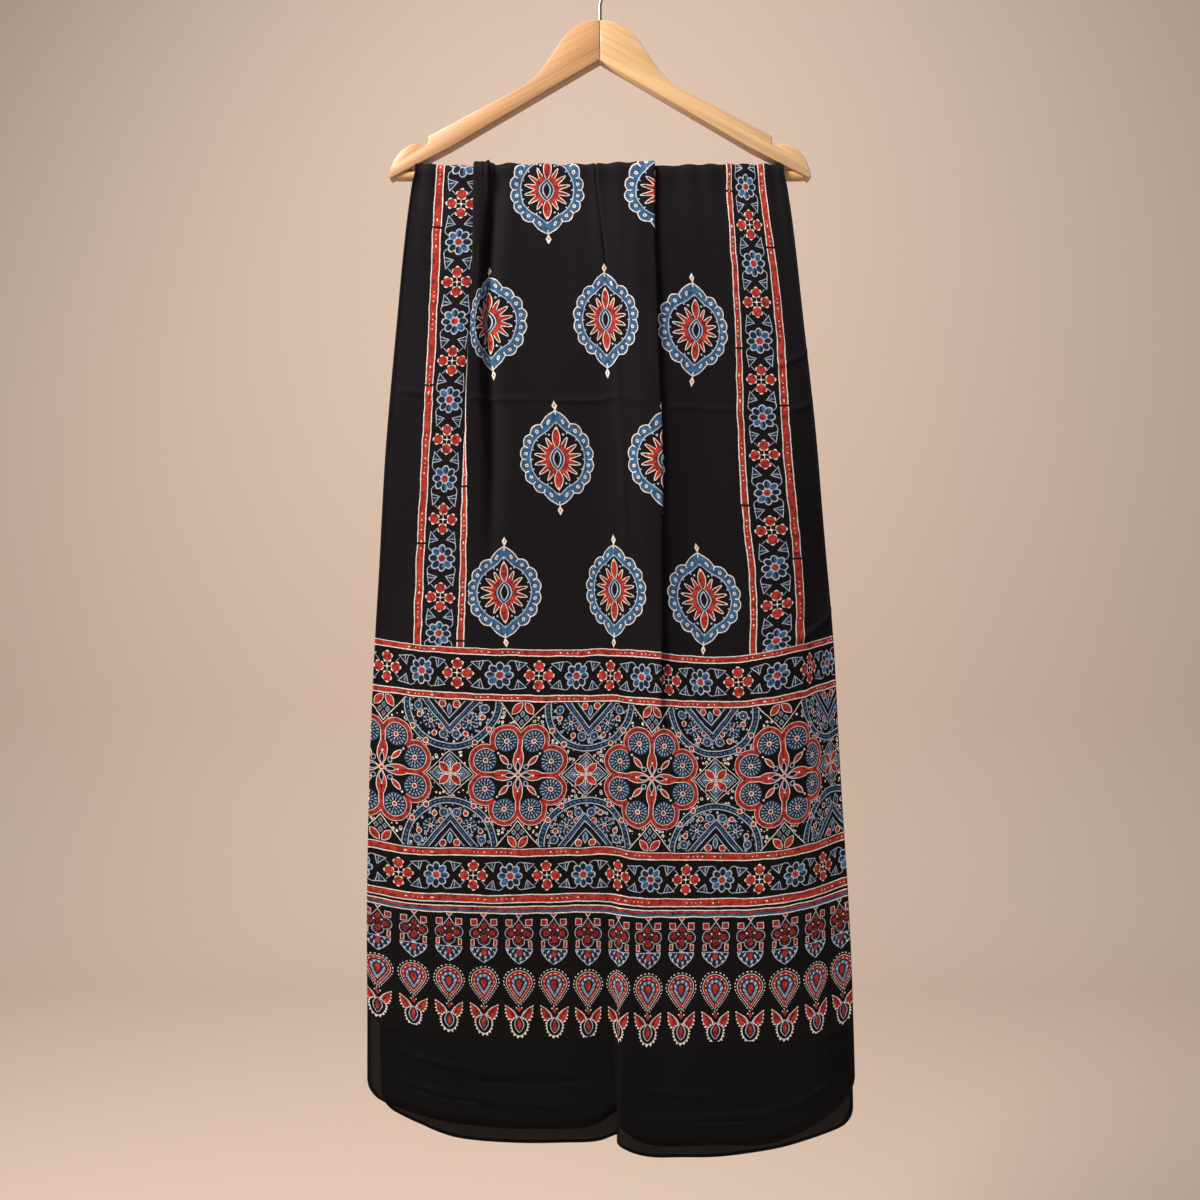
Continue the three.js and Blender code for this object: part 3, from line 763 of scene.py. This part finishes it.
def printed_cotton():
    # Block-printed cotton: dull, with dye that lies a little unevenly and edges of hand-cut blocks
    material, tree, shader = new_material("block_printed_cotton")
    u, v = flat_place(tree)
    place = add_node(tree, "ShaderNodeCombineXYZ", {0: u.socket, 1: v.socket})
    wander_length = 24
    wander_reach = 3
    wander = add_node(tree, "ShaderNodeTexNoise",
                      {"Vector": place.outputs[0], "Scale": 1 / wander_length, "Detail": 1.5})
    parts = add_node(tree, "ShaderNodeSeparateXYZ", {0: wander.outputs["Color"]})
    fray_size = 2
    fray_reach = 0.5
    fray = add_node(tree, "ShaderNodeTexNoise",
                    {"Vector": place.outputs[0], "Scale": 1 / fray_size, "Detail": 0})
    frays = add_node(tree, "ShaderNodeSeparateXYZ", {0: fray.outputs["Color"]})
    off = []
    for i in range(2):
        wandered = (Reading(tree, parts.outputs[i]) - 0.5) * wander_reach
        off.append(wandered + (Reading(tree, frays.outputs[i]) - 0.5) * fray_reach)
    ink = printed_ink(u + off[0], v + off[1])

    dye_patch = 7
    patch = add_node(tree, "ShaderNodeTexNoise",
                     {"Vector": place.outputs[0], "Scale": 1 / dye_patch, "Detail": 4, "Roughness": 0.8})
    thin = ["#0d0a0d", "#ba3a30", "#416a92", "#b6c0ce", "#e6e0db", "#1d2a42", "#110e13"]
    full = ["#0b090c", "#541614", "#1a3554", "#7f8fa8", "#bbb0aa", "#10151f", "#0f0d12"]
    dyes = []
    for colours in (full, thin):
        stops = [(max(0, (i - 0.5) / 8), linear(c)) for i, c in enumerate(colours)]
        ramp = add_node(tree, "ShaderNodeValToRGB", {0: ink.socket}, stops)
        ramp.color_ramp.interpolation = "CONSTANT"
        dyes.append(ramp.outputs[0])
    even = Reading(tree, patch.outputs["Fac"]) * 3.6 - 1.3
    colour = add_node(tree, "ShaderNodeMix", {0: even.socket, 6: dyes[0], 7: dyes[1]}, data_type="RGBA")
    connect(tree, shader, {"Base Color": colour.outputs[2]})
    dull_cotton(tree, shader, u, v)
    return material


def plain_end_cotton():
    # Unprinted black end of the same thin cotton: light comes through where one layer hangs past the other,
    # beside a dense rolled hem
    material, tree, shader = new_material("thin_black_cotton")
    u, v = flat_place(tree)
    edge, single = (
        Reading(tree, add_node(tree, "ShaderNodeAttribute", attribute_name=name).outputs["Fac"])
        for name in ("from_edge", "from_single"))
    rolled = edge < HEM_WIDTH
    stitch = rolled & (abs(wrap(u + v, 2.1)) < 0.7)
    colour = add_node(tree, "ShaderNodeMix",
                      {0: stitch.socket, 6: linear("#08070b"), 7: linear("#040304")}, data_type="RGBA")
    cover = [(0, 0.87), (SHEER_TO - 8, 0.87), (SHEER_TO, 1)]
    sheer = add_node(tree, "ShaderNodeValToRGB", {0: (single / SHEER_TO).socket},
                     [(at / SHEER_TO, [value] * 3 + [1]) for at, value in cover])
    alpha = Reading(tree, sheer.outputs[0]) | rolled
    connect(tree, shader, {"Base Color": colour.outputs[2], "Alpha": alpha.socket})
    dull_cotton(tree, shader, u, v)
    return material


def varnished_wood(name, light, dark, slope):
    # Pale hardwood under satin varnish: soft long grain, a low even gloss
    material, tree, shader = new_material(name)
    grain_width = 3
    grain_length = 130
    place = add_node(tree, "ShaderNodeTexCoord")
    turned = add_node(tree, "ShaderNodeMapping",
                      {"Vector": place.outputs["Object"], "Rotation": (0, slope, 0)})
    stretched = add_node(tree, "ShaderNodeMapping", {
        "Vector": turned.outputs[0],
        "Scale": (1 / (grain_length * MM), 1 / (grain_width * MM), 1 / (grain_width * MM))})
    grain = add_node(tree, "ShaderNodeTexNoise", {
        "Vector": stretched.outputs[0], "Scale": 1, "Detail": 6, "Roughness": 0.55, "Distortion": 0.5})
    ramp = add_node(tree, "ShaderNodeValToRGB", {0: grain.outputs["Fac"]},
                    [(0.3, linear(dark)), (0.68, linear(light))])
    bump = add_node(tree, "ShaderNodeBump",
                    {"Height": grain.outputs["Fac"], "Strength": 0.08, "Distance": 0.4 * MM})
    connect(tree, shader, {
        "Base Color": ramp.outputs[0], "Normal": bump.outputs[0],
        "Roughness": 0.42, "Coat Weight": 0.25, "Coat Roughness": 0.25})
    return material


def drawn_steel():
    # Drawn and plated steel wire: grey metal, its shade and gloss a little uneven
    material, tree, shader = new_material("plated_steel_wire")
    uneven_size = 1.2
    place = add_node(tree, "ShaderNodeTexCoord")
    noise = add_node(tree, "ShaderNodeTexNoise",
                     {"Vector": place.outputs["Object"], "Scale": 1 / (uneven_size * MM), "Detail": 3})
    ramp = add_node(tree, "ShaderNodeValToRGB", {0: noise.outputs["Fac"]},
                    [(0.3, linear("#6d6a68")), (0.7, linear("#8f8c89"))])
    rough = add_node(tree, "ShaderNodeMapRange",
                     {"Value": noise.outputs["Fac"], "To Min": 0.24, "To Max": 0.4})
    connect(tree, shader, {"Base Color": ramp.outputs[0], "Roughness": rough.outputs[0], "Metallic": 1})
    return material


# The cloth's drape


def curve(places, values, at):
    """A smooth curve through some values, read at one place or more."""
    places = np.array(places, dtype=float)
    values = np.array(values, dtype=float)
    before = np.maximum(np.arange(len(places)) - 1, 0)
    after = np.minimum(np.arange(len(places)) + 1, len(places) - 1)
    slopes = (values[after] - values[before]) / (places[after] - places[before])
    at = np.clip(at, places[0], places[-1])
    n = np.clip(np.searchsorted(places, at), 1, len(places) - 1)
    span = places[n] - places[n - 1]
    t = (at - places[n - 1]) / span
    s = 1 - t
    ends = values[n - 1] * s * s * (1 + 2 * t) + values[n] * t * t * (1 + 2 * s)
    return ends + span * t * s * (slopes[n - 1] * s - slopes[n] * t)


def column_at(table, column, drop):
    """One column of a table at a height, on a smooth curve through its rows."""
    return curve([row[0] for row in table], [row[column] for row in table], drop)


def mixed(pair, t):
    return pair[0] + (pair[1] - pair[0]) * t


def folds_at(layer, drop):
    """The folds of a layer as they are at a height, from left to right, each with its place and turn."""
    found = []
    for fold in FOLDS:
        if fold["layer"] in (layer, "both"):
            t = ease((drop - fold["drop"][0]) / (fold["drop"][1] - fold["drop"][0]))
            found.append({
                **fold,
                "at": column_at(fold["path"], 1, drop),
                "tuck": column_at(fold["path"], 2, drop),
                "turn": math.radians(mixed(fold["turn"], t)),
            })
    return sorted(found, key=lambda fold: fold["at"])


def heading_in(fold, across):
    def ramp(middle):
        return np.clip((across - middle) / fold["bend"] + 0.5, 0, 1)

    shape = ramp(fold["at"] - fold["tuck"] / 2) - ramp(fold["at"] + fold["tuck"] / 2)
    return fold["turn"] * shape * (1 if fold["front"] == "right" else -1)


def columns_at(layer, drop):
    """Flat places of the mesh's columns: close together in the folds and at the edges."""
    edge = np.array([0, *EDGE_PLACES])
    places = list(edge - HALF_WIDTH)
    ends = []
    for fold, count in zip(folds_at(layer, drop), PANEL_STEPS):
        inner, outer = (fold["tuck"] - fold["bend"]) / 2, (fold["tuck"] + fold["bend"]) / 2
        if fold["layer"] == "both":
            ends += [(fold["at"] - outer - CREASE_STRETCH, count), (fold["at"] - outer, CREASE_STEPS)]
        else:
            ends.append((fold["at"] - outer, count))
        ends.append((fold["at"] - inner, BEND_STEPS))
        ends += [(fold["at"] + inner, HOLD_STEPS), (fold["at"] + outer, BEND_STEPS)]
        if fold["at"] < RUFFLE_AT:
            ends.append((fold["at"] + outer + 2 * RUFFLE_WIDTH, RUFFLE_STEPS))
    right_edge = (HALF_WIDTH - edge)[::-1]
    ends.append((right_edge[0], PANEL_STEPS[-1]))
    for end, count in ends:
        places += list(np.linspace(places[-1], end, count + 1)[1:])
    return np.array(places + list(right_edge[1:]))


def section_at(layer, drop):
    """A cross-section of one layer: for each column its flat place, X, stand-off and shared depth."""
    folds = folds_at(layer, drop)
    count = round(CLOTH_WIDTH / SECTION_STEP)
    fine = np.linspace(-HALF_WIDTH, HALF_WIDTH, count + 1)
    middles = (fine[1:] + fine[:-1]) / 2
    off = np.zeros(count + 1)
    shared = np.zeros(count + 1)

    def path(heading):
        return np.concatenate([[0], np.cumsum(heading) * SECTION_STEP])

    run = path(np.cos(sum(heading_in(fold, middles) for fold in folds)))
    for fold in folds:
        step = path(np.sin(heading_in(fold, middles)))
        if fold["layer"] == "both":
            shared -= step - step[-1] * (fine + HALF_WIDTH) / CLOTH_WIDTH
        else:
            off += step - step[-1] * ease((run - np.interp(fold["at"], fine, run)) / (2 * LEVELLED) + 0.5)
    for swell in SWELLS:
        if swell["layer"] == layer:
            spread = (run - np.interp(column_at(swell["path"], 1, drop), fine, run)) / swell["half_width"]
            off += column_at(swell["path"], 2, drop) * np.exp(-spread ** 2)
    off -= off.min()

    hung = np.array([column_at(OUTLINE, i + 1, drop) for i in range(len(LINES))])
    hung[:2] += LAYERS[layer]["inset"] * drop / LAYERS[layer]["length"]
    left, right = hung[0], hung[-1]
    across = columns_at(layer, drop)
    x = np.interp(np.interp(across, fine, run), np.interp(LINES, fine, run), hung)
    from_left = np.clip(1 - (x - left) / CURL_WIDTH, 0, 1)
    from_right = np.clip(1 - (right - x) / CURL_WIDTH, 0, 1)
    curl = column_at(CURL, 1, drop) * from_left ** 2 + column_at(CURL, 2, drop) * from_right ** 2
    return across, x, np.interp(across, fine, off), np.interp(across, fine, shared) + curl


def hem_rise(form, across):
    """How far the hem rides above the middle of the left panel."""
    left = np.maximum(0, (RISE_FROM - across) / (HALF_WIDTH + RISE_FROM)) ** 2.5
    right = np.maximum(0, (across - form["right_from"]) / (HALF_WIDTH - form["right_from"])) ** 2
    sag = mixed(form["sag"], ease((across - SAG_FROM) / SAG_WIDTH))
    notch = form["notch"] * np.exp(-np.abs((across - NOTCH_AT) / NOTCH_WIDTH) ** 1.5)
    return form["left_rise"] * left + form["right_rise"] * right - sag + notch


def print_rise(across, drop):
    on_lines = [column_at(PRINT_RISE, i + 1, drop) for i in range(len(LINES))]
    return curve(LINES, on_lines, across)


def corner_at(across, radius):
    """How much the rounded corner takes off the length at a place across the sheet."""
    inside = np.maximum(0, np.abs(across) - (HALF_WIDTH - radius))
    return radius - np.sqrt(radius ** 2 - inside ** 2)


def relief_at(layer, across, drop):
    """Small creases and waves that stand out of the folded sheet, in millimetres."""
    height = np.zeros_like(across)
    for on, start, end, half_width, tall in CREASES:
        if on == layer:
            run = np.array([end[0] - start[0], end[1] - start[1]], dtype=float)
            length = np.hypot(*run)
            run /= length
            along = (across - start[0]) * run[0] + (drop - start[1]) * run[1]
            aside = (across - start[0]) * run[1] - (drop - start[1]) * run[0]
            fade = ease(along / CREASE_FADE + 0.5) * ease((length - along) / CREASE_FADE + 0.5)
            uneven = 0.75 + 0.25 * np.sin(along / 17 + start[0])
            height += tall * fade * uneven * np.exp(-(aside / half_width) ** 2)
    bunched = np.exp(-((across - RUFFLE_AT) / RUFFLE_WIDTH) ** 2) * np.exp(-drop / RUFFLE_DROP)
    height += bunched * RUFFLE_HEIGHT * (0.5 + 0.5 * np.sin(across / 1.1))
    gathered = np.exp(-drop / GATHER_DROP) * GATHER_HEIGHT
    height += gathered * np.sin(across / 4.1 + 2 * np.sin(across / 23))
    for tall, wave, crossing, start in WAVES:
        waves = ease(drop / WAVES_FROM) * tall * np.sin(across / wave[0] + drop / wave[1])
        height += waves * np.sin(across / crossing[0] + drop / crossing[1] + start)
    for fold in folds_at(layer, drop):
        near = np.abs(across - fold["at"]) / (fold["tuck"] / 2 + fold["bend"])
        height *= 1 - math.sin(fold["turn"] / 2) * ease(2.2 - near)
    return height


def cloth_rows():
    """Rows from the front hem over the bar to the back hem, each with its places across and along the flat
    cloth, its points, how far relief pushes them out, and their distance from the hem."""
    rows = []

    def hanging(layer):
        form = LAYERS[layer]
        made = []
        heights = [(i / form["rows"]) ** ROW_CROWDING for i in range(form["rows"] + 1)]
        for start, end in form["fine"]:
            heights += list(np.arange(start, end, FINE_ROW) / form["length"])
        for down in sorted(heights):
            drop = form["length"] * down
            across, x, off, shared = section_at(layer, drop)
            gap = HANGING_GAP + (WRAP_RADIUS - HANGING_GAP) * (1 - ease(drop / CLOSING_DROP))
            reach = form["length"] - corner_at(across, form["corner"]) - hem_rise(form, across)
            flat = reach * down + form["side"] * -print_rise(across, drop)
            y = form["side"] * (gap + off) + shared
            points = np.stack([x, y, BAR_Z - reach * down], 1)
            made.append((across, flat, points, relief_at(layer, across, drop), reach * (1 - down)))
        return made

    for across, down, points, relief, from_hem in reversed(hanging("front")):
        rows.append((across, FRONT_LENGTH - down, points, relief, from_hem))
    across, x, off, shared = section_at("front", 0)
    relief = relief_at("front", across, 0)
    for i in range(1, WRAP_ROWS):
        angle = math.pi * i / WRAP_ROWS
        radius = WRAP_RADIUS + off
        points = np.stack([x, -radius * math.cos(angle), BAR_Z + radius * math.sin(angle)], 1)
        along = FRONT_LENGTH + WRAP_RADIUS * angle - print_rise(across, 0)
        rows.append((across, along, points, relief, np.full_like(x, FRONT_LENGTH)))
    for across, down, points, relief, from_hem in hanging("back"):
        rows.append((across, FRONT_LENGTH + math.pi * WRAP_RADIUS + down, points, relief, from_hem))
    return rows


def draped_cloth():
    """The whole cloth as one thin closed sheet, with its flat places in a UV map."""
    rows = cloth_rows()
    across = np.array([row[0] for row in rows])
    along = np.array([row[1] for row in rows])
    points = np.array([row[2] for row in rows])
    relief = np.array([row[3] for row in rows])
    from_hem = np.array([row[4] for row in rows])
    count_rows, count_columns = across.shape

    def normals(grid):
        down = np.gradient(grid, axis=0)
        side = np.gradient(grid, axis=1)
        normal = -np.cross(down, side)
        return normal / np.linalg.norm(normal, axis=2, keepdims=True)

    points = points + normals(points) * relief[..., None]
    out = normals(points)
    from_edge = np.minimum(from_hem, HALF_WIDTH - np.abs(across))
    thick = np.where(from_edge < HEM_WIDTH + 0.1, HEM_THICKNESS, CLOTH_THICKNESS)
    shell = [points + face * out * thick[..., None] / 2 for face in (1, -1)]
    vertices = np.concatenate([face.reshape(-1, 3) for face in shell]) * MM

    r, c = np.meshgrid(np.arange(count_rows - 1), np.arange(count_columns - 1), indexing="ij")
    corner = (r * count_columns + c).ravel()
    quads = np.stack([corner, corner + 1, corner + count_columns + 1, corner + count_columns], 1)
    size = count_rows * count_columns
    rim_r = [0] * (count_columns - 1) + list(range(count_rows - 1))
    rim_r += [count_rows - 1] * (count_columns - 1) + list(range(count_rows - 1, 0, -1))
    rim_c = list(range(count_columns - 1)) + [count_columns - 1] * (count_rows - 1)
    rim_c += list(range(count_columns - 1, 0, -1)) + [0] * (count_rows - 1)
    rim = np.array(rim_r) * count_columns + np.array(rim_c)
    following = np.roll(rim, -1)
    rim_faces = np.stack([following, rim, rim + size, following + size], 1)
    faces = np.concatenate([quads, quads[:, ::-1] + size, rim_faces])

    mesh = bpy.data.meshes.new("ajrakh_cloth")
    mesh.from_pydata(vertices.tolist(), [], faces.tolist())
    printed = across + DRAWN_IN * ease((across - DRAWN_FROM) / (HALF_WIDTH - DRAWN_FROM))
    flat = np.stack([printed + HALF_WIDTH, along], 2).reshape(-1, 2) * MM
    flat = np.concatenate([flat, flat])
    corners = faces.ravel()
    on_loops = flat[corners]
    mesh.uv_layers.new(name="flat").data.foreach_set("uv", on_loops.ravel().astype(np.float32))

    from_side = HALF_WIDTH - np.abs(across)
    from_single = np.where(along < CLOTH_LENGTH / 2, from_side, from_edge)
    for name, values in (("from_edge", from_edge), ("from_single", from_single)):
        attribute = mesh.attributes.new(name, "FLOAT", "POINT")
        attribute.data.foreach_set("value", np.tile(values.ravel(), 2).astype(np.float32))

    half = CLOTH_LENGTH * MM / 2
    gutter = 0.02
    on_back = np.repeat(flat[faces].mean(axis=1)[:, 1] > half, 4)
    baked = on_loops.copy()
    baked[on_back, 0] += CLOTH_WIDTH * MM + gutter
    baked[on_back, 1] = CLOTH_LENGTH * MM - baked[on_back, 1]
    baked -= baked.min(axis=0)
    baked = (baked + gutter / 2) / (baked.max() + gutter)
    mesh.uv_layers.new(name="OFBake").data.foreach_set("uv", baked.ravel().astype(np.float32))

    mesh.materials.append(printed_cotton())
    mesh.materials.append(plain_end_cotton())
    middle = flat[faces].mean(axis=1)[:, 1] / MM
    plain = np.minimum(middle, CLOTH_LENGTH - middle) < PLAIN_END
    mesh.polygons.foreach_set("material_index", plain.astype(np.int32))
    mesh.polygons.foreach_set("use_smooth", np.ones(len(faces), dtype=bool))
    mesh.update()
    cloth = bpy.data.objects.new("ajrakh_cloth", mesh)
    bpy.context.collection.objects.link(cloth)
    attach(cloth, "root")
    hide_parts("cloth")
    CLOTH_LENGTH * MM


# Hanger


def smooth_copy(node, name, material, levels=0):
    """A merged, smoothly shaded copy of a frame node, which it stands for."""
    bpy.ops.object.select_all(action="DESELECT")
    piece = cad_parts[node].copy()
    piece.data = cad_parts[node].data.copy()
    piece.name = name
    piece.parent = None
    bpy.context.collection.objects.link(piece)
    bpy.context.view_layer.objects.active = piece
    piece.select_set(True)
    bpy.ops.object.mode_set(mode="EDIT")
    bpy.ops.mesh.select_all(action="SELECT")
    bpy.ops.mesh.remove_doubles(threshold=1e-6)
    bpy.ops.object.mode_set(mode="OBJECT")
    if levels:
        rounder = piece.modifiers.new("round", "SUBSURF")
        rounder.levels = levels
        rounder.render_levels = levels
        bpy.ops.object.modifier_apply(modifier=rounder.name)
    bpy.ops.object.shade_smooth_by_angle(angle=math.radians(35))
    piece.data.materials.clear()
    piece.data.materials.append(material)
    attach(piece, "root")
    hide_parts(node)


draped_cloth()
smooth_copy("arm_left", "hanger_arm_left",
            varnished_wood("warm_varnished_wood", "#b99069", "#a1774f", ARM_SLOPE))
smooth_copy("arm_right", "hanger_arm_right",
            varnished_wood("pale_varnished_wood", "#caa97f", "#b48e64", -ARM_SLOPE))
smooth_copy("bar", "hanger_bar", varnished_wood("turned_dowel_wood", "#d9b080", "#bd8d5b", 0))
smooth_copy("hook", "hanger_hook", drawn_steel(), levels=1)


# Stage, light and camera


def pale_sweep():
    """A pale floor that turns up into a wall behind the object."""
    bpy.ops.object.select_all(action="DESELECT")
    front_y, floor_z = -5, -1.9
    wall_y, wall_top = 3.2, 4
    half_width = 6
    bend, bend_steps = 0.8, 12
    profile = [(front_y, floor_z)]
    for i in range(bend_steps + 1):
        angle = math.radians(90 * i / bend_steps)
        profile.append((wall_y - bend + bend * math.sin(angle), floor_z + bend - bend * math.cos(angle)))
    profile.append((wall_y, wall_top))
    vertices = [(x, y, z) for x in (-half_width, half_width) for y, z in profile]
    count = len(profile)
    faces = [(i, i + 1, count + i + 1, count + i) for i in range(count - 1)]
    mesh = bpy.data.meshes.new("pale_sweep")
    mesh.from_pydata(vertices, [], faces)
    mesh.polygons.foreach_set("use_smooth", [True] * len(faces))
    sweep = bpy.data.objects.new("pale_sweep", mesh)
    bpy.context.collection.objects.link(sweep)
    # Matt paper: pale, with no gloss at all
    material, tree, shader = new_material("matt_paper")
    connect(tree, shader, {"Base Color": linear("#d8c7bc"), "Roughness": 0.95})
    mesh.materials.append(material)


def soft_light(name, place, target, size, power, colour):
    light = bpy.data.lights.new(name, "AREA")
    light.shape = "SQUARE"
    light.size = size
    light.energy = power
    light.color = linear(colour)[:3]
    lamp = bpy.data.objects.new(name, light)
    lamp.location = place
    aim = Vector(target) - Vector(place)
    lamp.rotation_euler = aim.to_track_quat("-Z", "Y").to_euler()
    bpy.context.collection.objects.link(lamp)


def camera_at(place, lens_mm):
    data = bpy.data.cameras.new("camera")
    data.lens = lens_mm
    data.sensor_width = 36
    camera = bpy.data.objects.new("camera", data)
    camera.location = place
    camera.rotation_euler = (math.pi / 2, 0, 0)
    bpy.context.collection.objects.link(camera)
    bpy.context.scene.camera = camera


pale_sweep()
bpy.context.scene.view_settings.view_transform = "Standard"
soft_light("key", (-1.5, -1.05, 1.05), (0, 0, -0.4), 0.9, 132, "#fff3e4")
soft_light("fill", (1.9, -2.2, 0.4), (0, 0, -0.4), 2.0, 16, "#f2f4ff")
soft_light("wall", (0, 0.9, 1.6), (0, 3.2, -0.6), 2.5, 30, "#fff6ee")
world = bpy.data.worlds.new("pale_room")
world.use_nodes = True
background = world.node_tree.nodes["Background"]
connect(world.node_tree, background, {"Color": linear("#f3efea"), "Strength": 0.24})
bpy.context.scene.world = world
camera_at((0, -1.208, -0.679), 34.6)
